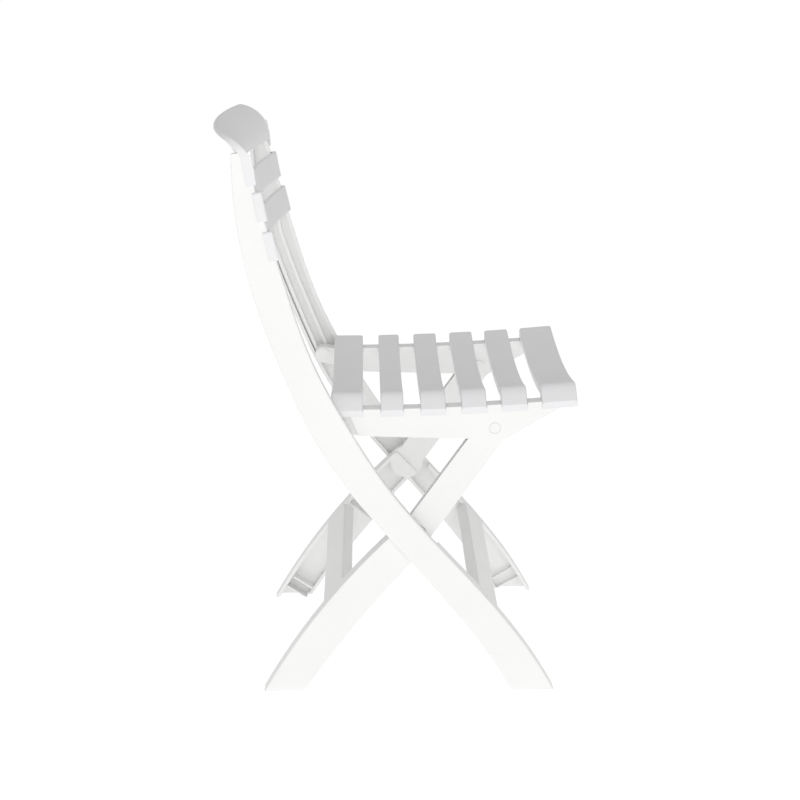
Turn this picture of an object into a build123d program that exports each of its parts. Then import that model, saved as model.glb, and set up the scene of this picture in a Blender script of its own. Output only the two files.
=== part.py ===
from build123d import *
import math
import os

# Folding garden chair moulded in plastic: two long side legs that run from the front
# feet up to the back slats, two short legs that cross behind them, and a slatted seat.
# Origin on the floor in the middle of the chair's plan, +X to the right as seen from
# the front, +Y to the rear, +Z up. Left and right are as seen from the front.
# Millimetres and degrees.

# ---- overall sizes ----
frame_width = 434.0        # outer face to outer face of the long side legs
front_foot_y = -181.0      # middle of the front feet
rear_foot_y = 161.0        # middle of the rear feet
cross_y = -19.0            # pivot where the legs cross
cross_z = 219.0
seat_pin_y = -132.0        # pivot of the seat on the short legs
seat_pin_z = 373.0
slide_pin_y = 107.0        # rear pin of the seat, in its slot in the side leg
slide_pin_z = 392.0
top_y = 203.0              # upper end of the side legs
top_z = 750.0

# ---- folding ----
leg_turn = 60.0            # short legs, from open to folded
seat_turn = 115.4          # seat on the short legs, from open to folded

# ---- side legs ----
stile_depth = 12.0         # across the chair
stile_foot_width = 49.0
stile_cross_width = 42.0
stile_seat_width = 48.0
stile_back_width = 44.0
stile_top_width = 17.0
stile_web = 4.5
stile_lower_bow = 9.0      # how far each half bends away from a straight line
stile_upper_bow = 12.0
stile_middle_bow = 4.0
flange = 5.0               # thickness of the edge walls of every channel
hub_radius = 20.0          # round boss on the inside of the side leg at the crossing
wall_clear = 36.0          # the deep front wall ends this far from the crossing
hub_depth = 12.5
slot_depth = 8.0
foot_rib_places = (10.0, 28.0)  # stiffening ribs, along the leg from the floor
rib = 2.5

# ---- short legs ----
leg_upper_width = 40.0
leg_lower_width = 50.0
leg_foot_width = 46.0
leg_lower_depth = 26.0
leg_web = 4.5
leg_wall = 4.0             # each side wall of the upper part
leg_bow = 9.0              # how far the lower part bends away from a straight line
seat_boss_radius = 17.0

# ---- seat ----
rail_width = 24.0
rail_skin = 3.0
clip = 2.2                 # play of the slat lips inside the rail
rail_corner_lead = 13.0    # bottom corner of the rail ahead of the seat pivot
rail_nose_depth = 9.0
rail_bottom_drop = 16.0    # from the seat pivot down to the bottom corner of the rail
rail_top_rise = 30.0       # from the seat pivot up to the top edge of the rail
rail_middle_y = -66.0      # lowest point of its dished top edge
rail_nose_y = -228.0       # front end of the rail
rail_nose_rise = 38.0      # top edge of the rail at its front end, above the seat pivot
rail_step_y = 56.0         # behind this the rail is narrower
rail_step = 4.5
rail_step_slant = 10.0     # half the lean of that edge, over the rail's height
rail_end_radius = 12.0
notch = 4.0                # depth of the seats cut in the rail for the slats
hook = 2.0                 # thickness of the slat hooks outside the rail
hook_drop = 6.0            # how far the hooks reach below the notch
hook_face = 3.0            # how far the flat face of a hook rises above the notch
slat_rise = 19.0           # top of a slat near its ends, above the rail
slat_fall = 27.0           # length over which a slat's end falls from there to its hook
fall_ease = 13.0           # pull of the falling curve at its upper end
fall_drop = (8.0, 10.0)    # pull of the falling curve at its lower end
seat_dish = 14.0           # how far the middle of a slat lies below its ends
slat_skin = 3.2
slat_skirt = 12.0
slat_round = 3.0
nose_round = 3.0           # front edge of the front slat
slat_gap = 0.1
slat_edges = (              # front and rear edge of each seat slat, from the rear
    (46.0, 89.0), (-9.0, 22.0), (-66.0, -32.0),
    (-121.0, -87.0), (-176.0, -141.0), (-244.0, -196.0),
)

# ---- back ----
back_hook = 3.0            # thickness of the slat ends outside the side legs
back_hook_reach = 6.5      # how far the slat ends reach behind the front edge
back_slat_stand = 7.0      # front face of a slat ahead of the side leg
back_slat_skin = 5.0
back_slat_height = 40.0
back_bow = 26.0            # how far the middle of a back slat lies behind its ends
back_slat_z = (624.0, 676.0)
back_slat_room = 0.15
top_slat_z = 718.0
top_slat_height = 55.0
top_slat_curl = 33.0       # how far the upper edge of the top slat leans back
top_slat_skin = 8.0
top_slat_stand = 6.0       # lower front edge ahead of the side leg
top_corner = 30.0
top_hook_length = 40.0
top_hook_z = 726.0

# ---- cross bars ----
bar_height = 44.0
bar_thick = 18.0
bar_wall = 3.0
bar_room = 0.2             # play of a cross bar between its legs
bar_distance = 134.0       # from the crossing to the middle of each cross bar
tenon = 4.0

# ---- pins and fits ----
cross_pin_radius = 6.0
seat_pin_radius = 6.0
slide_pin_radius = 5.0
seat_pin_head = 7.3
pin_head = 10.0
head_thick = 2.5
head_room = 0.4
edge_round = 1.6
running_fit = 0.08
pin_room = 0.05
slot_fit = 0.4
side_gap = 0.5             # between parts that slide past each other

# ---- layers, as distances from the middle of the chair ----
stile_out = frame_width / 2
stile_in = stile_out - stile_depth
hub_in = stile_in - hub_depth
rail_out = stile_in - side_gap - hook
rail_in = rail_out - rail_width
leg_upper_out = rail_out - rail_skin - side_gap
leg_upper_in = rail_in + rail_skin + side_gap
leg_lower_out = stile_in - side_gap
leg_lower_in = leg_lower_out - leg_lower_depth
lap_face = hub_in - side_gap

cross = Vector(cross_y, cross_z)
seat_pin = Vector(seat_pin_y, seat_pin_z)
slide_pin = Vector(slide_pin_y, slide_pin_z)
top = Vector(top_y, top_z)


def turned(v, degrees):
    """A side-view vector turned from +Y towards +Z."""
    a = math.radians(degrees)
    return Vector(v.X * math.cos(a) - v.Y * math.sin(a), v.X * math.sin(a) + v.Y * math.cos(a))


def between(p, q, share, bulge=0.0):
    """The point at a share of the way from p to q, moved square to the line by bulge."""
    d = q - p
    side = Vector(-d.Y, d.X) * (bulge / d.length)
    return p + d * share + side


def side_plane(x):
    """The side-view plane at a distance x from the middle: local x is Y, local y is Z."""
    return Plane.YZ.offset(x)


def normal_at(line, share):
    """The direction square to a side-view line, to the left of its travel."""
    t = line % share
    return Vector(-t.Y, t.X)


def edge_points(line, stations, side):
    """Points beside a centre line: stations are (share, width), side is +1 or -1."""
    return [line @ s + normal_at(line, s) * (side * w / 2) for s, w in stations]


def strip(line, stations, left_wall=0.0, right_wall=0.0):
    """A face of varying width along a centre line; a positive wall keeps in from that edge."""
    with BuildLine() as outline:
        left = Spline(*edge_points(line, [(s, w - 2 * left_wall) for s, w in stations], 1))
        right = Spline(*edge_points(line, [(s, w - 2 * right_wall) for s, w in stations], -1))
        Line(left @ 0, right @ 0)
        Line(left @ 1, right @ 1)
    make_face(outline.line)


def slide_place(share):
    """Where the slide pin is, in side view, when the fold is a share of the way."""
    knee = cross + turned(seat_pin - cross, -leg_turn * share)
    return knee + turned(slide_pin - seat_pin, (seat_turn - leg_turn) * share)


# Centre line of a side leg, from below the floor at the front foot to its upper end.
foot = Vector(front_foot_y, 0)
foot_overrun = Vector(-20, -38)  # carries the line past the floor before it is cut
slot_set_back = Vector(7, 0)     # the side leg's middle lies ahead of the slide pin
stile_line = Spline(
    foot + foot_overrun,
    between(foot, cross, 0.45, stile_lower_bow),
    cross,
    between(cross, slide_pin, 0.5, -stile_middle_bow),
    slide_pin - slot_set_back,
    between(slide_pin, top, 0.42, -stile_upper_bow),
    top,
)
stile_stations = (
    (0.00, stile_foot_width + 4), (0.12, stile_foot_width), (0.24, stile_cross_width + 3),
    (0.355, stile_cross_width), (0.46, stile_seat_width - 3), (0.54, stile_seat_width),
    (0.66, stile_back_width - 1), (0.80, stile_back_width), (0.92, stile_back_width - 10),
    (1.00, stile_top_width),
)


# Centre lines of a short leg: straight above the crossing, slightly bowed below it.
rear_foot = Vector(rear_foot_y, 0)
rear_overrun = Vector(18, -28)
leg_upper_line = Line(cross, seat_pin)
leg_lower_line = Spline(
    cross,
    between(cross, rear_foot, 0.5, leg_bow),
    rear_foot + rear_overrun,
)
leg_upper_stations = ((0.0, leg_upper_width), (0.5, leg_upper_width), (1.0, leg_upper_width))
leg_lower_stations = (
    (0.0, leg_lower_width - 4), (0.3, leg_lower_width), (0.7, leg_lower_width), (1.0, leg_foot_width),
)
slot_points = [slide_place(i / 6) for i in range(7)]
slot_line = Spline(*slot_points)
slot_width = 2 * (slide_pin_radius + slot_fit)


def floor_cut():
    """Takes away whatever of the part in hand lies below the floor."""
    with BuildSketch(Plane.XY) as floor:
        Rectangle(2 * frame_width, 4 * frame_width)
    extrude(floor.sketch, amount=-frame_width, mode=Mode.SUBTRACT)


fine_shares = [i / 400 for i in range(401)]


def share_near(line, goal):
    """The share of a line that lies nearest to a point."""
    return min(fine_shares, key=lambda s: (line @ s - goal).length)


def place_on(line, share, offset=0.0):
    """A side-view location on a line, turned so that local x runs along it."""
    p = line @ share + normal_at(line, share) * offset
    run = line % share
    return Location((p.X, p.Y), math.degrees(math.atan2(run.Y, run.X)))


def bar_place(line, share, width):
    """Where a cross bar's section sits: flush with the left edge of a leg of that width."""
    return place_on(line, share, width / 2 - bar_thick / 2)


def foot_ribs(line, share, towards, width, x_from, depth):
    """Two ribs across a channel, a little above its foot."""
    with BuildSketch(side_plane(x_from)) as ribs:
        for distance in foot_rib_places:
            with Locations(place_on(line, share + towards * distance / line.length)):
                Rectangle(rib, width)
    extrude(ribs.sketch, amount=depth)


def width_at(stations, share):
    """The width between two stations, in proportion."""
    for (s0, w0), (s1, w1) in zip(stations, stations[1:]):
        if s0 <= share <= s1:
            return w0 + (w1 - w0) * (share - s0) / (s1 - s0)
    return stations[-1][1]


parts = {}

# ---- side legs ----
stile_cross_share = share_near(stile_line, cross)
stile_floor_share = share_near(stile_line, foot)
front_bar_share = stile_cross_share - bar_distance / stile_line.length
front_bar_width = width_at(stile_stations, front_bar_share)
front_tenon_offset = front_bar_width / 2 - flange - bar_thick / 3
inner_depth = stile_depth - stile_web

with BuildPart() as right_stile:
    with BuildSketch(side_plane(hub_in)):
        strip(stile_line, stile_stations)
    extrude(amount=hub_depth + stile_depth)
    fillet(faces().sort_by(Axis.X)[-1].edges().sort_by(SortBy.LENGTH)[-2:], radius=edge_round)
    # Above the crossing only the shallow channel stays, apart from the hub.
    with BuildSketch(side_plane(hub_in)):
        with Locations(place_on(stile_line, stile_cross_share)):
            Rectangle(2 * stile_line.length, 2 * stile_line.length, align=(Align.MIN, Align.CENTER))
        with Locations((cross.X, cross.Y)):
            Circle(hub_radius, mode=Mode.SUBTRACT)
    extrude(amount=hub_depth, mode=Mode.SUBTRACT)
    # Below it a deep wall stays along the front edge, and the short leg folds in behind.
    with BuildSketch(side_plane(hub_in)):
        strip(stile_line, stile_stations, flange, -flange)
        with Locations((cross.X, cross.Y)):
            Circle(wall_clear)
            Circle(hub_radius, mode=Mode.SUBTRACT)
    extrude(amount=hub_depth, mode=Mode.SUBTRACT)
    # The channel itself, left solid around the hub, the slot and the cross bar.
    with BuildSketch(side_plane(stile_in)):
        strip(stile_line, stile_stations, flange, flange)
        with Locations((cross.X, cross.Y)):
            Circle(hub_radius, mode=Mode.SUBTRACT)
        with BuildLine():
            Spline(*slot_points)
        trace(line_width=slot_width + 2 * flange, mode=Mode.SUBTRACT)
        with Locations(slot_line @ 0, slot_line @ 1):
            Circle(slot_width / 2 + flange, mode=Mode.SUBTRACT)
        with Locations(place_on(stile_line, front_bar_share)):
            Rectangle(bar_height + 2 * flange, 2 * stile_seat_width, mode=Mode.SUBTRACT)
        with Locations(place_on(stile_line, 1.0)):
            Rectangle(4 * flange, 2 * stile_seat_width, mode=Mode.SUBTRACT)
    extrude(amount=inner_depth, mode=Mode.SUBTRACT)
    foot_ribs(stile_line, stile_floor_share, 1, stile_foot_width - 2 * flange, stile_in, inner_depth)
    # Slot of the slide pin.
    with BuildSketch(side_plane(stile_in)):
        with BuildLine():
            Spline(*slot_points)
        trace(line_width=slot_width)
        with Locations(slot_line @ 0, slot_line @ 1):
            Circle(slot_width / 2)
    extrude(amount=slot_depth, mode=Mode.SUBTRACT)
    # Mortise of the front cross bar.
    with BuildSketch(side_plane(stile_in)):
        with Locations(place_on(stile_line, front_bar_share, front_tenon_offset)):
            Rectangle(bar_height - 4 * bar_wall + bar_room, bar_wall * 2 + bar_room)
    extrude(amount=tenon, mode=Mode.SUBTRACT)
    # Bore of the crossing pin.
    with BuildSketch(side_plane(hub_in)):
        with Locations((cross.X, cross.Y)):
            Circle(cross_pin_radius + running_fit)
    extrude(amount=hub_depth + inner_depth, mode=Mode.SUBTRACT)
    floor_cut()
parts["right_side_leg"] = right_stile

with BuildPart() as left_stile:
    mirror(right_stile.part, about=Plane.YZ)
parts["left_side_leg"] = left_stile

# ---- short legs ----
rear_bar_share = bar_distance / leg_lower_line.length
leg_floor_share = share_near(leg_lower_line, rear_foot)
leg_channel = leg_lower_depth - leg_web

with BuildPart() as right_leg:
    # Lower part, a channel that is open to the inside.
    with BuildSketch(side_plane(leg_lower_in)):
        strip(leg_lower_line, leg_lower_stations)
    extrude(amount=leg_lower_depth)
    fillet(faces().sort_by(Axis.X)[-1].edges().sort_by(SortBy.LENGTH)[-2:], radius=edge_round)
    with BuildSketch(side_plane(leg_lower_in)):
        strip(leg_lower_line, leg_lower_stations, flange, flange)
        with Locations((cross.X, cross.Y)):
            Circle(hub_radius + flange, mode=Mode.SUBTRACT)
        with Locations(place_on(leg_lower_line, rear_bar_share)):
            Rectangle(bar_height + 2 * flange, 2 * leg_lower_width, mode=Mode.SUBTRACT)
    extrude(amount=leg_channel, mode=Mode.SUBTRACT)
    # The front edge wall is shallow, so that the folded leg passes the side leg's wall.
    with BuildSketch(side_plane(leg_lower_in)):
        strip(leg_lower_line, leg_lower_stations, leg_lower_width - 2 * flange, -flange)
        with Locations((cross.X, cross.Y)):
            Circle(hub_radius + flange, mode=Mode.SUBTRACT)
        with Locations(place_on(leg_lower_line, rear_bar_share)):
            Rectangle(bar_height + 2 * flange, 2 * leg_lower_width, mode=Mode.SUBTRACT)
    extrude(amount=leg_lower_depth - stile_depth, mode=Mode.SUBTRACT)
    foot_ribs(leg_lower_line, leg_floor_share, -1, leg_foot_width - 2 * flange, leg_lower_in, leg_channel)
    # Round at the crossing, let in where the hub of the side leg seats.
    with BuildSketch(side_plane(leg_upper_in)):
        with Locations((cross.X, cross.Y)):
            Circle(leg_lower_width / 2)
    extrude(amount=lap_face - leg_upper_in)
    # Upper part, inside the seat rail.
    with BuildSketch(side_plane(leg_upper_in)):
        strip(leg_upper_line, leg_upper_stations)
        with Locations((seat_pin.X, seat_pin.Y)):
            Circle(leg_upper_width / 2)
    extrude(amount=leg_upper_out - leg_upper_in)
    # Hollow from its rear edge, between two walls.
    with BuildSketch(side_plane(leg_upper_in + leg_wall)):
        strip(leg_upper_line, leg_upper_stations, flange, -flange)
        with Locations((cross.X, cross.Y)):
            Circle(hub_radius + flange, mode=Mode.SUBTRACT)
        with Locations((seat_pin.X, seat_pin.Y)):
            Circle(seat_boss_radius, mode=Mode.SUBTRACT)
    extrude(amount=leg_upper_out - leg_upper_in - 2 * leg_wall, mode=Mode.SUBTRACT)
    with BuildSketch(side_plane(lap_face)):
        with Locations((cross.X, cross.Y)):
            Circle(hub_radius + side_gap * 2)
    extrude(amount=leg_lower_depth, mode=Mode.SUBTRACT)
    # Blind bore of the crossing pin and through bore of the seat pin.
    with BuildSketch(side_plane(leg_upper_in)):
        with Locations((cross.X, cross.Y)):
            Circle(cross_pin_radius + running_fit)
    extrude(amount=leg_lower_depth, mode=Mode.SUBTRACT)
    with BuildSketch(side_plane(leg_lower_in)):
        with Locations((seat_pin.X, seat_pin.Y)):
            Circle(seat_pin_radius + running_fit)
    extrude(amount=leg_lower_depth, mode=Mode.SUBTRACT)
    # Mortise of the rear cross bar.
    with BuildSketch(side_plane(leg_lower_in)):
        with Locations(bar_place(leg_lower_line, rear_bar_share, leg_lower_width)):
            Rectangle(bar_height - 4 * bar_wall + bar_room, bar_thick - 4 * bar_wall + bar_room)
    extrude(amount=tenon, mode=Mode.SUBTRACT)
    floor_cut()
parts["right_short_leg"] = right_leg

with BuildPart() as left_leg:
    mirror(right_leg.part, about=Plane.YZ)
parts["left_short_leg"] = left_leg

# ---- cross bars ----
with BuildPart() as front_bar:
    with BuildSketch(side_plane(bar_room - stile_in)):
        with Locations(bar_place(stile_line, front_bar_share, front_bar_width)):
            RectangleRounded(bar_height, bar_thick, bar_wall)
    extrude(amount=2 * (stile_in - bar_room))
    # Hollow from the rear, with end walls.
    with BuildSketch(side_plane(flange - hub_in)):
        with Locations(bar_place(stile_line, front_bar_share, front_bar_width - 2 * bar_wall)):
            Rectangle(bar_height - 2 * bar_wall, bar_thick)
    extrude(amount=2 * (hub_in - flange), mode=Mode.SUBTRACT)
    # Relief at each end for the front wall of the side leg.
    for end in (-1, 1):
        with BuildSketch(side_plane(end * (hub_in - bar_room))):
            with Locations(place_on(stile_line, front_bar_share, front_bar_width / 2)):
                Rectangle(2 * bar_height, 2 * (flange + 4 * bar_room))
        extrude(amount=end * 2 * hub_depth, mode=Mode.SUBTRACT)
        with BuildSketch(side_plane(end * (stile_in - 2 * bar_room))):
            with Locations(place_on(stile_line, front_bar_share, front_tenon_offset)):
                Rectangle(bar_height - 4 * bar_wall, bar_wall * 2)
        extrude(amount=end * (tenon + bar_room))
parts["front_cross_bar"] = front_bar

with BuildPart() as rear_bar:
    with BuildSketch(side_plane(bar_room - leg_lower_in)):
        with Locations(bar_place(leg_lower_line, rear_bar_share, leg_lower_width)):
            RectangleRounded(bar_height, bar_thick, bar_wall)
    extrude(amount=2 * (leg_lower_in - bar_room))
    with BuildSketch(side_plane(flange - leg_lower_in)):
        with Locations(bar_place(leg_lower_line, rear_bar_share, leg_lower_width - 2 * bar_wall)):
            Rectangle(bar_height - 2 * bar_wall, bar_thick)
    extrude(amount=2 * (leg_lower_in - flange), mode=Mode.SUBTRACT)
    for end in (-1, 1):
        with BuildSketch(side_plane(end * (leg_lower_in - 2 * bar_room))):
            with Locations(bar_place(leg_lower_line, rear_bar_share, leg_lower_width)):
                Rectangle(bar_height - 4 * bar_wall, bar_thick - 4 * bar_wall)
        extrude(amount=end * (tenon + bar_room))
parts["rear_cross_bar"] = rear_bar

# ---- seat rails ----
rail_corner = Vector(seat_pin_y - rail_corner_lead, seat_pin_z - rail_bottom_drop)
rail_heel = Vector(rail_step_y, seat_pin_z - rail_bottom_drop / 2)
rail_rear_top = Vector(slat_edges[0][1] + rail_skin, seat_pin_z + rail_top_rise - 1)
rail_nose_top = Vector(rail_nose_y, seat_pin_z + rail_nose_rise)
rail_middle_top = Vector(rail_middle_y, seat_pin_z + rail_top_rise)
with BuildLine() as rail_top_line:
    ThreePointArc(rail_rear_top, rail_middle_top, rail_nose_top)
rail_top = rail_top_line.line.edge()


def rail_point(y):
    """The point of the rail's top edge at a given y, and the slope there in degrees."""
    share = share_near(rail_top, Vector(y, seat_pin_z + rail_top_rise))
    run = rail_top % share
    return rail_top @ share, math.degrees(math.atan2(-run.Y, -run.X))


def slat_plane(y):
    """Across the chair at the notch floor under a slat: local x is X, local y is up."""
    p, slope = rail_point(y)
    a = math.radians(slope)
    up = Vector(0, -math.sin(a), math.cos(a))
    return Plane(origin=Vector(0, p.X, p.Y) - up * notch, x_dir=(1, 0, 0), z_dir=Vector(1, 0, 0).cross(up))


slat_middles = [(front + rear) / 2 for front, rear in slat_edges]
slat_widths = [abs(rear - front) for front, rear in slat_edges]

with BuildPart() as right_rail:
    with BuildSketch(side_plane(rail_in)):
        with BuildLine():
            add(rail_top)
            end_top = slide_pin + Vector(0, rail_end_radius)
            end_rear = slide_pin + Vector(rail_end_radius, 0)
            end_low = slide_pin - Vector(0, rail_end_radius)
            Line(rail_top @ 0, end_top)
            ThreePointArc(end_top, end_rear, end_low)
            nose_low = rail_nose_top + Vector(notch, -rail_nose_depth)
            Polyline(end_low, rail_heel, rail_corner, nose_low, rail_nose_top)
        make_face()
    extrude(amount=rail_width)
    # Hollow from below around the top of the short leg.
    lowered = Vector(0, -notch - rail_skin)
    pocket_rear = rail_point(rail_step_y - 2 * flange)[0] + lowered
    pocket_middle = rail_middle_top + lowered
    pocket_front = rail_point(rail_nose_y + 2 * flange)[0] + lowered
    below_rail = Vector(0, -4 * rail_bottom_drop)
    with BuildSketch(side_plane(rail_in + rail_skin)):
        with BuildLine():
            ThreePointArc(pocket_rear, pocket_middle, pocket_front)
            Polyline(pocket_front, pocket_front + below_rail, pocket_rear + below_rail, pocket_rear)
        make_face()
    extrude(amount=rail_width - 2 * rail_skin, mode=Mode.SUBTRACT)
    # Behind a slanted line the outside steps in towards the slide pin.
    step_low = seat_pin_z - rail_width
    step_high = seat_pin_z + rail_top_rise - rail_skin
    with BuildSketch(side_plane(rail_out)):
        with BuildLine():
            Polyline(
                (rail_step_y - rail_step_slant, step_low), (rail_step_y + rail_step_slant, step_high),
                (2 * slide_pin_y, step_high), (2 * slide_pin_y, step_low), close=True,
            )
        make_face()
    extrude(amount=-rail_step, mode=Mode.SUBTRACT)
    # Seats for the slats.
    for middle, width in zip(slat_middles, slat_widths):
        with BuildSketch(slat_plane(middle)):
            with Locations((stile_out, 0)):
                Rectangle(frame_width, 2 * slat_rise, align=(Align.CENTER, Align.MIN))
        extrude(amount=width / 2 + slat_gap, both=True, mode=Mode.SUBTRACT)
    # Bores of the two pins, the seat pin's head let in flush.
    with BuildSketch(side_plane(rail_in)):
        with Locations((seat_pin.X, seat_pin.Y)):
            Circle(seat_pin_radius + pin_room)
        with Locations((slide_pin.X, slide_pin.Y)):
            Circle(slide_pin_radius + pin_room)
    extrude(amount=rail_width, mode=Mode.SUBTRACT)
    with BuildSketch(side_plane(rail_out)):
        with Locations((seat_pin.X, seat_pin.Y)):
            Circle(seat_pin_head + head_room)
    extrude(amount=-head_thick / 2, mode=Mode.SUBTRACT)
parts["right_seat_rail"] = right_rail

with BuildPart() as left_rail:
    mirror(right_rail.part, about=Plane.YZ)
parts["left_seat_rail"] = left_rail

# ---- seat slats ----
slat_top_end = notch + slat_rise
hook_out = rail_out + hook
slat_shoulder = hook_out - slat_fall
dish_radius = (slat_shoulder**2 + seat_dish**2) / (2 * seat_dish)
shoulder_run = Vector(dish_radius - seat_dish, slat_shoulder).normalized()

for count, (middle, width) in enumerate(zip(slat_middles, slat_widths), start=1):
    with BuildPart() as slat:
        with BuildSketch(slat_plane(middle)):
            with BuildLine():
                ThreePointArc(
                    (slat_shoulder, slat_top_end), (0, slat_top_end - seat_dish),
                    (-slat_shoulder, slat_top_end),
                )
                for end in (-1, 1):
                    shoulder = (end * slat_shoulder, slat_top_end)
                    brow = (end * hook_out, hook_face)
                    eased = (
                        end * (slat_shoulder + fall_ease * shoulder_run.X),
                        slat_top_end + fall_ease * shoulder_run.Y,
                    )
                    dropped = (end * (hook_out - fall_drop[0]), hook_face + fall_drop[1])
                    Bezier(brow, dropped, eased, shoulder)
                    Polyline(
                        brow, (end * hook_out, -hook_drop), (end * (rail_out + slat_gap), -hook_drop),
                        (end * (rail_out + slat_gap), 0), (end * (rail_in - slat_gap), 0),
                        (end * (rail_in - slat_gap), -notch), (end * (rail_in - clip), -notch),
                        (end * (rail_in - clip), slat_top_end - slat_skirt - clip),
                    )
                ThreePointArc(
                    (clip - rail_in, slat_top_end - slat_skirt - clip),
                    (0, slat_top_end - seat_dish - slat_skirt),
                    (rail_in - clip, slat_top_end - slat_skirt - clip),
                )
            make_face()
        extrude(amount=width / 2, both=True)
        top_face = slat.faces().filter_by(GeomType.CYLINDER).sort_by(SortBy.AREA)[-1]
        long_edges = top_face.edges().sort_by(SortBy.LENGTH)[-2:].sort_by(Axis.Y)
        if middle == slat_middles[-1]:
            fillet(long_edges[0], radius=nose_round)
            fillet(long_edges[1], radius=slat_round)
        else:
            fillet(long_edges, radius=slat_round)
        # Hollow underneath, inside a skirt.
        with BuildSketch(slat_plane(middle)):
            with BuildLine():
                inner = rail_in - clip - 2 * slat_skin
                hollow_end = slat_top_end - slat_skin - 1
                ThreePointArc(
                    (inner, hollow_end), (0, slat_top_end - seat_dish - slat_skin), (-inner, hollow_end)
                )
                Polyline(
                    (-inner, hollow_end), (-inner, -slat_skirt), (inner, -slat_skirt), (inner, hollow_end)
                )
            make_face()
        extrude(amount=width / 2 - slat_skin, both=True, mode=Mode.SUBTRACT)
    parts[f"seat_slat_{count}"] = slat

# ---- back slats ----


def stile_front(z):
    """Share, front edge point and lean of the side leg at a height."""
    share = min(fine_shares, key=lambda i: abs((stile_line @ i).Y - z))
    reach = width_at(stile_stations, share) / 2
    return share, stile_line @ share + normal_at(stile_line, share) * reach, stile_line % share


def stile_relief():
    """Cuts the side legs, a little enlarged, out of the slat in hand."""
    for left in (stile_in, -stile_out):
        with BuildSketch(side_plane(left)) as leg_shape:
            strip(stile_line, stile_stations, -back_slat_room, -back_slat_room)
        extrude(leg_shape.sketch, amount=stile_depth, mode=Mode.SUBTRACT)


back_end = stile_out + back_hook
hook_in = stile_out + slat_gap
# The thick pads of a back slat behind which the side legs stand.
pad_start = stile_in - flange - 2
pad_rear = back_slat_skin - back_slat_stand + 2.6

for name, height in (("lower_back_slat", back_slat_z[0]), ("middle_back_slat", back_slat_z[1])):
    front_point, run = stile_front(height)[1:]
    # Local x is X, local y points to the rear, square to the side leg.
    back_plane = Plane(
        origin=(0, front_point.X, front_point.Y), x_dir=(1, 0, 0), z_dir=(0, run.X, run.Y),
    )
    with BuildPart() as slat:
        with BuildSketch(back_plane):
            with BuildLine():
                ThreePointArc(
                    (back_end, -back_slat_stand), (0, back_bow - back_slat_stand),
                    (-back_end, -back_slat_stand),
                )
                ThreePointArc(
                    (-pad_start, pad_rear), (0, back_bow - back_slat_stand + back_slat_skin),
                    (pad_start, pad_rear),
                )
                for end in (-1, 1):
                    Polyline(
                        (end * back_end, -back_slat_stand), (end * back_end, back_hook_reach),
                        (end * hook_in, back_hook_reach), (end * hook_in, -slat_gap),
                        (end * (stile_in - flange), -slat_gap), (end * pad_start, pad_rear),
                    )
            make_face()
        extrude(amount=back_slat_height / 2, both=True)
        ends = slat.edges().filter_by(Axis(origin=(0, 0, 0), direction=back_plane.z_dir))
        fillet(ends.group_by(Axis.Y)[0], radius=slat_round)
        front_face = slat.faces().filter_by(GeomType.CYLINDER).sort_by(SortBy.AREA)[-2:]
        long_edges = front_face.sort_by(Axis.Y)[0].edges().sort_by(SortBy.LENGTH)[-2:]
        fillet(long_edges, radius=slat_round)
        stile_relief()
    parts[name] = slat

# Top slat: a curled section turned about an upright axis to give it the same bow.
top_front = stile_front(top_slat_z)[1]
section_foot = top_front.X - top_slat_stand + back_bow
bow_radius = (back_end**2 + back_bow**2) / (2 * back_bow)
bow_centre = Vector(0, section_foot - bow_radius, top_slat_z)
bow_angle = math.degrees(math.asin(back_end / bow_radius)) + 2
outward = Vector(0, 1, 0).rotate(Axis.Z, -bow_angle)
curl_end = Vector(bow_radius + top_slat_curl, top_slat_height)
curl_skin = Vector(0.8, -0.06 * top_slat_height / top_slat_skin) * top_slat_skin
with BuildPart() as top_slat:
    # Local x runs out from the bow's centre, local y is up.
    with BuildSketch(Plane(origin=bow_centre, x_dir=outward, z_dir=outward.cross(Vector(0, 0, 1)))):
        with BuildLine():
            front_curve = Spline(
                (bow_radius, 0), (bow_radius + 0.12 * top_slat_curl, 0.4 * top_slat_height), curl_end
            )
            rear_curve = Spline(
                (bow_radius + top_slat_skin, 0),
                (bow_radius + top_slat_skin + 0.2 * top_slat_curl, 0.4 * top_slat_height),
                curl_end + curl_skin,
            )
            Line(front_curve @ 0, rear_curve @ 0)
            ThreePointArc(curl_end, curl_end + Vector(0.6 * top_slat_skin, 0), curl_end + curl_skin)
        make_face()
    revolve(axis=Axis(bow_centre, (0, 0, 1)), revolution_arc=2 * bow_angle)
    # Front view: ends cut straight, with large round upper corners.
    high = top_slat_z + top_slat_height
    corner_in = back_end - 1.5 * top_corner
    beyond = 2 * top_slat_height
    with BuildSketch(Plane.XZ):
        with BuildLine():
            Bezier(
                (back_end, high - top_corner), (back_end, high - 0.2 * top_corner),
                (back_end - 0.4 * top_corner, high), (corner_in, high + 0.1 * top_corner),
            )
            Polyline(
                (corner_in, high + 0.1 * top_corner), (corner_in, high + beyond),
                (back_end + beyond, high + beyond), (back_end + beyond, high - beyond),
                (back_end, high - beyond), (back_end, high - top_corner),
            )
        corner_shape = make_face()
        mirror(corner_shape, about=Plane.YZ)
    extrude(amount=frame_width, both=True, mode=Mode.SUBTRACT)
    # A hook at each end on the outside of the side leg.
    hook_share = stile_front(top_hook_z)[0]
    hook_middle = width_at(stile_stations, hook_share) / 2
    for end in (-1, 1):
        with BuildSketch(side_plane(end * hook_in)):
            with Locations(place_on(stile_line, hook_share, hook_middle)):
                RectangleRounded(top_hook_length, 2 * back_hook_reach, slat_round)
        extrude(amount=end * (back_hook - slat_gap))
    stile_relief()
parts["top_back_slat"] = top_slat

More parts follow.
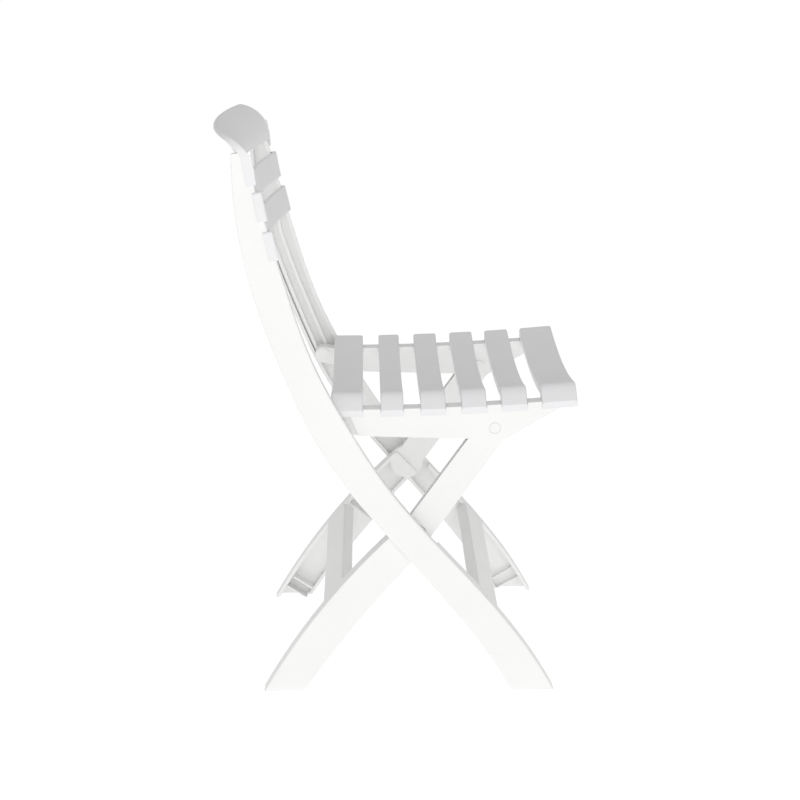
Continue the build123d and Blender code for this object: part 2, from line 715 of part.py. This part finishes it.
# ---- pins ----
for side, sign in (("left", -1), ("right", 1)):
    # Crossing pin: a plain stub between the short leg and the hub of the side leg.
    with BuildPart() as cross_pin:
        with BuildSketch(side_plane(sign * (leg_upper_in + pin_room))):
            with Locations((cross.X, cross.Y)):
                Circle(cross_pin_radius)
        extrude(amount=sign * (stile_in + inner_depth / 2 - leg_upper_in))
    parts[f"{side}_crossing_pin"] = cross_pin
    # Seat pin: right through the rail and the short leg, flush with the outside.
    with BuildPart() as seat_hinge_pin:
        with BuildSketch(side_plane(sign * (rail_in - head_thick))):
            with Locations((seat_pin.X, seat_pin.Y)):
                Circle(seat_pin_radius)
        extrude(amount=sign * (rail_width + head_thick))
        with BuildSketch(side_plane(sign * (rail_out - head_thick / 2))):
            with Locations((seat_pin.X, seat_pin.Y)):
                Circle(seat_pin_head)
        extrude(amount=sign * head_thick / 2)
    parts[f"{side}_seat_pin"] = seat_hinge_pin
    # Slide pin: from the rear end of the rail out into the slot of the side leg.
    with BuildPart() as slot_pin:
        with BuildSketch(side_plane(sign * (rail_in - head_thick))):
            with Locations((slide_pin.X, slide_pin.Y)):
                Circle(pin_head)
        extrude(amount=sign * head_thick)
        with BuildSketch(side_plane(sign * rail_in)):
            with Locations((slide_pin.X, slide_pin.Y)):
                Circle(slide_pin_radius)
        extrude(amount=sign * (stile_in + slot_depth - side_gap - rail_in))
    parts[f"{side}_slide_pin"] = slot_pin

os.makedirs("parts", exist_ok=True)
for name, made in parts.items():
    made.part.label = name
    export_step(made.part, f"parts/{name}.step")
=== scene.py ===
"""Looks of a moulded white folding chair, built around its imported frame.

Metres throughout; +X is to the right as seen from the front, +Y to the rear, +Z up.
"""

import logging
import math
from dataclasses import dataclass, field
from enum import Enum
from typing import Any

import bpy
import numpy as np
from mathutils import Matrix, Vector


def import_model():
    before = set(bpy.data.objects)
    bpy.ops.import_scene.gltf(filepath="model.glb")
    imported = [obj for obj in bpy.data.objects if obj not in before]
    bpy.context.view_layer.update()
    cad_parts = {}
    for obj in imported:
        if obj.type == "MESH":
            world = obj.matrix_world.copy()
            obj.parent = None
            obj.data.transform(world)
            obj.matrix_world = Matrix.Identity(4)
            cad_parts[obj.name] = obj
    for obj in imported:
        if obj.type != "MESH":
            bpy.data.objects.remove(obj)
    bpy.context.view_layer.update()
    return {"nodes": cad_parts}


log = logging.getLogger("chair")


class Slot(Enum):
    """Material slots of the record."""

    FRAME = "frame_plastic"
    SLAT = "slat_plastic"
    PIN = "pin_plastic"


# ---------------------------------------------------------------- shader maths


class Wire:
    """An output socket that takes part in Python arithmetic."""

    def __init__(self, graph: "Graph", socket: bpy.types.NodeSocket) -> None:
        """Holds the graph the socket belongs to and the socket."""
        self.graph = graph
        self.socket = socket

    def _math(self, operation: str, first: Any, second: Any) -> "Wire":
        """Adds a Math node.

        Args:
            operation: the Math node's operation.
            first: a Wire or a number.
            second: a Wire or a number.

        Returns:
            The node's result.
        """
        return self.graph.node("ShaderNodeMath", {"operation": operation}, {0: first, 1: second})

    def __add__(self, other: Any) -> "Wire":
        """Sum."""
        return self._math("ADD", self, other)

    def __radd__(self, other: Any) -> "Wire":
        """Sum, reflected."""
        return self._math("ADD", other, self)

    def __sub__(self, other: Any) -> "Wire":
        """Difference."""
        return self._math("SUBTRACT", self, other)

    def __rsub__(self, other: Any) -> "Wire":
        """Difference, reflected."""
        return self._math("SUBTRACT", other, self)

    def __mul__(self, other: Any) -> "Wire":
        """Product."""
        return self._math("MULTIPLY", self, other)

    def __rmul__(self, other: Any) -> "Wire":
        """Product, reflected."""
        return self._math("MULTIPLY", other, self)


class Graph:
    """A material's node tree, with one method that makes any node."""

    def __init__(self, name: str) -> None:
        """Starts an empty material of that name."""
        self.material = bpy.data.materials.new(name)
        self.material.use_nodes = True
        self.tree = self.material.node_tree
        self.tree.nodes.clear()

    def node(
        self, kind: str, settings: dict[str, Any], inputs: dict[Any, Any], output: Any = 0
    ) -> Wire:
        """Makes one node.

        Args:
            kind: the node's type.
            settings: attributes, set before the sockets; "stops" holds a ramp's stops.
            inputs: socket name or index to a value or a Wire.
            output: name or index of the output to return.

        Returns:
            The chosen output.
        """
        made = self.tree.nodes.new(kind)
        for key, value in settings.items():
            if key == "stops":
                self._set_stops(made, value)
            else:
                setattr(made, key, value)
        for key, value in inputs.items():
            if isinstance(value, Wire):
                self.tree.links.new(value.socket, made.inputs[key])
            else:
                made.inputs[key].default_value = value
        return Wire(self, made.outputs[output])

    @staticmethod
    def _set_stops(ramp: bpy.types.Node, stops: list[tuple[float, float]]) -> None:
        """Gives a colour ramp grey stops of (position, value)."""
        elements = ramp.color_ramp.elements
        while len(elements) > len(stops):
            elements.remove(elements[-1])
        while len(elements) < len(stops):
            elements.new(1.0)
        for element, (position, value) in zip(elements, stops):
            element.position = position
            element.color = (value, value, value, 1.0)

    def noise(self, where: Wire, scale: float, detail: float, roughness: float = 0.5) -> Wire:
        """Noise on object coordinates, from 0 to 1."""
        return self.node(
            "ShaderNodeTexNoise",
            {},
            {"Vector": where, "Scale": scale, "Detail": detail, "Roughness": roughness},
        )

    def mix(self, factor: Any, first: Any, second: Any) -> Wire:
        """Mixes two colours by a factor."""
        return self.node(
            "ShaderNodeMix", {"data_type": "RGBA"}, {0: factor, 6: first, 7: second}, output=2
        )


# ---------------------------------------------------------------- finishes


@dataclass(frozen=True)
class MouldedPlastic:
    """Injection-moulded white polypropylene.

    The colour drifts very slightly where the melt cooled unevenly, a fine spark-eroded
    texture breaks up the gloss, and faint flow waves run along the part.
    """

    name: str
    white: tuple[float, float, float]
    shade: tuple[float, float, float]
    roughness: float
    grain_size: float = 0.0009
    grain_depth: float = 0.00003
    wave_size: float = 0.07
    wave_depth: float = 0.00025
    stretch: tuple[float, float, float] = (1.0, 1.0, 1.0)
    drift_scale: float = 9.0
    scuff_scale: float = 60.0
    scuff_softness: float = 0.65
    scuff_reach: float = 0.10
    drift_reach: float = 0.06
    bump_strength: float = 0.6
    refraction: float = 1.49
    specular: float = 0.45

    def build(self) -> bpy.types.Material:
        """Makes the material.

        Returns:
            The finished material.
        """
        graph = Graph(self.name)
        place = graph.node("ShaderNodeTexCoord", {}, {}, output="Object")
        along = graph.node("ShaderNodeMapping", {}, {"Vector": place, "Scale": self.stretch})
        drift = graph.noise(place, self.drift_scale, 3.0)
        scuff = graph.noise(along, self.scuff_scale, 5.0, self.scuff_softness)
        grain = graph.noise(place, 1.0 / self.grain_size, 2.0)
        wave = graph.noise(along, 1.0 / self.wave_size, 1.0)
        patches = graph.node(
            "ShaderNodeValToRGB", {"stops": [(0.35, 0.0), (0.7, 1.0)]}, {"Fac": drift}
        )
        colour = graph.mix(patches, (*self.white, 1.0), (*self.shade, 1.0))
        roughness = (
            self.roughness + self.scuff_reach * (scuff - 0.5) + self.drift_reach * (drift - 0.5)
        )
        height = self.wave_depth * wave + self.grain_depth * grain
        bump = graph.node(
            "ShaderNodeBump",
            {},
            {"Strength": self.bump_strength, "Distance": 1.0, "Height": height},
        )
        surface = graph.node(
            "ShaderNodeBsdfPrincipled",
            {},
            {
                "Base Color": colour,
                "Roughness": roughness,
                "Normal": bump,
                "IOR": self.refraction,
                "Specular IOR Level": self.specular,
            },
        )
        out = graph.tree.nodes.new("ShaderNodeOutputMaterial")
        graph.tree.links.new(surface.socket, out.inputs["Surface"])
        return graph.material


@dataclass(frozen=True)
class PaperFloor:
    """A pale seamless floor with a faint unevenness."""

    name: str = "studio_paper"
    pale: tuple[float, float, float] = (0.97, 0.97, 0.97)
    glow: float = 0.44
    cloud_scale: float = 3.0
    cloud_share: float = 0.99
    roughness: float = 0.9
    specular: float = 0.1

    def build(self) -> bpy.types.Material:
        """Makes the material.

        Returns:
            The finished material.
        """
        graph = Graph(self.name)
        place = graph.node("ShaderNodeTexCoord", {}, {}, output="Object")
        cloud = graph.noise(place, self.cloud_scale, 2.0)
        dimmer = (*[self.cloud_share * c for c in self.pale], 1.0)
        colour = graph.mix(cloud, (*self.pale, 1.0), dimmer)
        surface = graph.node(
            "ShaderNodeBsdfPrincipled",
            {},
            {
                "Base Color": colour,
                "Roughness": self.roughness,
                "Specular IOR Level": self.specular,
                "Emission Color": (1.0, 1.0, 1.0, 1.0),
                "Emission Strength": self.glow,
            },
        )
        out = graph.tree.nodes.new("ShaderNodeOutputMaterial")
        graph.tree.links.new(surface.socket, out.inputs["Surface"])
        return graph.material


# ---------------------------------------------------------------- the chair


@dataclass
class Finishes:
    """The chair's materials, made once."""

    frame: MouldedPlastic = field(
        default_factory=lambda: MouldedPlastic(
            "frame_white", (0.85, 0.85, 0.84), (0.83, 0.83, 0.82), 0.36, stretch=(1.0, 1.0, 0.35)
        )
    )
    # Painted shade: the slats are the same white plastic as the frame, but their base colour is
    # set darker to stand in for the shade on their top and front faces
    slat: MouldedPlastic = field(
        default_factory=lambda: MouldedPlastic(
            "slat_white_painted_shade", (0.79, 0.79, 0.80), (0.77, 0.77, 0.78), 0.42, stretch=(0.35, 1.0, 1.0)
        )
    )
    pin: MouldedPlastic = field(
        default_factory=lambda: MouldedPlastic(
            "pin_white", (0.84, 0.84, 0.83), (0.82, 0.82, 0.81), 0.34
        )
    )

    def build(self) -> dict[Slot, bpy.types.Material]:
        """Makes every material.

        Returns:
            Slot to material.
        """
        return {
            Slot.FRAME: self.frame.build(),
            Slot.SLAT: self.slat.build(),
            Slot.PIN: self.pin.build(),
        }


@dataclass
class CarriedNodes:
    """The frame's own nodes, shown as they are in a better material."""

    nodes: dict[str, bpy.types.Object]

    @staticmethod
    def slot_of(name: str) -> Slot:
        """The finish that a node takes by what it is."""
        if "slat" in name:
            return Slot.SLAT
        return Slot.PIN if name.endswith("_pin") else Slot.FRAME

    def dress(self, materials: dict[Slot, bpy.types.Material]) -> None:
        """Puts each node's material in its object's slots.

        Args:
            materials: slot to material.
        """
        for name, node in self.nodes.items():
            material = materials[self.slot_of(name)]
            for slot in node.material_slots:
                slot.link = "OBJECT"
                slot.material = material
            log.info("dressed %s in %s", name, material.name)


# ---------------------------------------------------------------- studio


@dataclass(frozen=True)
class Panel:
    """A square light panel: its place, its edge length and its power in watts."""

    name: str
    place: tuple[float, float, float]
    size: float
    power: float


@dataclass
class Studio:
    """Floor, lights and camera."""

    panels: tuple[Panel, ...] = (
        Panel("key_panel", (-4.2, -0.3, 1.3), 2.6, 49.0),
        Panel("top_panel", (-0.6, 0.6, 3.4), 1.6, 6.0),
    )
    panel_aim: tuple[float, float, float] = (0.0, 0.0, 0.4)

    floor_half: float = 9.0
    surround: float = 0.58
    backdrop: float = 1.02
    camera_place: tuple[float, float, float] = (-2.781, 0.034, 1.062)
    camera_pitch: float = 14.10
    camera_yaw: float = 0.85
    camera_roll: float = -0.70
    lens: float = 89.1
    sensor: float = 36.0

    def build(self) -> None:
        """Makes the whole studio."""
        self._floor()
        self._lights()
        self._camera()

    def _floor(self) -> None:
        """A level sheet at the height of the feet."""
        half = self.floor_half
        corners = half * np.array([(-1, -1, 0), (1, -1, 0), (1, 1, 0), (-1, 1, 0)])
        mesh = bpy.data.meshes.new("studio_floor")
        mesh.from_pydata(corners.tolist(), [], [(0, 1, 2, 3)])
        floor = bpy.data.objects.new("studio_floor", mesh)
        bpy.context.scene.collection.objects.link(floor)
        mesh.materials.append(PaperFloor().build())

    def _lights(self) -> None:
        """Large soft panels and a bright surround."""
        for panel in self.panels:
            light = bpy.data.lights.new(panel.name, "AREA")
            light.energy = panel.power
            light.size = panel.size
            lamp = bpy.data.objects.new(panel.name, light)
            aim = Vector(self.panel_aim) - Vector(panel.place)
            turn = aim.to_track_quat("-Z", "Y").to_matrix().to_4x4()
            lamp.matrix_world = Matrix.Translation(panel.place) @ turn
            bpy.context.scene.collection.objects.link(lamp)
        world = bpy.data.worlds.new("studio_surround")
        world.use_nodes = True
        tree = world.node_tree
        tree.nodes.clear()
        seen = tree.nodes.new("ShaderNodeBackground")
        seen.inputs["Color"].default_value = (1.0, 1.0, 1.0, 1.0)
        seen.inputs["Strength"].default_value = self.backdrop
        lighting = tree.nodes.new("ShaderNodeBackground")
        lighting.inputs["Color"].default_value = (1.0, 1.0, 1.0, 1.0)
        lighting.inputs["Strength"].default_value = self.surround
        ray = tree.nodes.new("ShaderNodeLightPath")
        choice = tree.nodes.new("ShaderNodeMixShader")
        out = tree.nodes.new("ShaderNodeOutputWorld")
        tree.links.new(ray.outputs["Is Camera Ray"], choice.inputs[0])
        tree.links.new(lighting.outputs[0], choice.inputs[1])
        tree.links.new(seen.outputs[0], choice.inputs[2])
        tree.links.new(choice.outputs[0], out.inputs["Surface"])
        bpy.context.scene.world = world
        bpy.context.scene.view_settings.view_transform = "Standard"

    def _camera(self) -> None:
        """A long lens at the chair's left side, a little above it."""
        pitch = math.radians(self.camera_pitch)
        yaw = math.radians(self.camera_yaw)
        roll = math.radians(self.camera_roll)
        forward = Vector(
            (math.cos(pitch) * math.cos(yaw), -math.cos(pitch) * math.sin(yaw), -math.sin(pitch))
        )
        level = forward.cross(Vector((0, 0, 1))).normalized()
        upright = level.cross(forward)
        right = level * math.cos(roll) + upright * math.sin(roll)
        up = upright * math.cos(roll) - level * math.sin(roll)
        turn = Matrix((right, up, -forward)).transposed().to_4x4()
        data = bpy.data.cameras.new("camera")
        data.lens = self.lens
        data.sensor_width = self.sensor
        camera = bpy.data.objects.new("camera", data)
        camera.matrix_world = Matrix.Translation(self.camera_place) @ turn
        bpy.context.scene.collection.objects.link(camera)
        bpy.context.scene.camera = camera


def main() -> None:
    """Builds the studio and dresses the chair."""
    logging.basicConfig(level=logging.INFO)
    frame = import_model()
    materials = Finishes().build()
    CarriedNodes(frame["nodes"]).dress(materials)
    Studio().build()


if __name__ == "__main__":
    main()
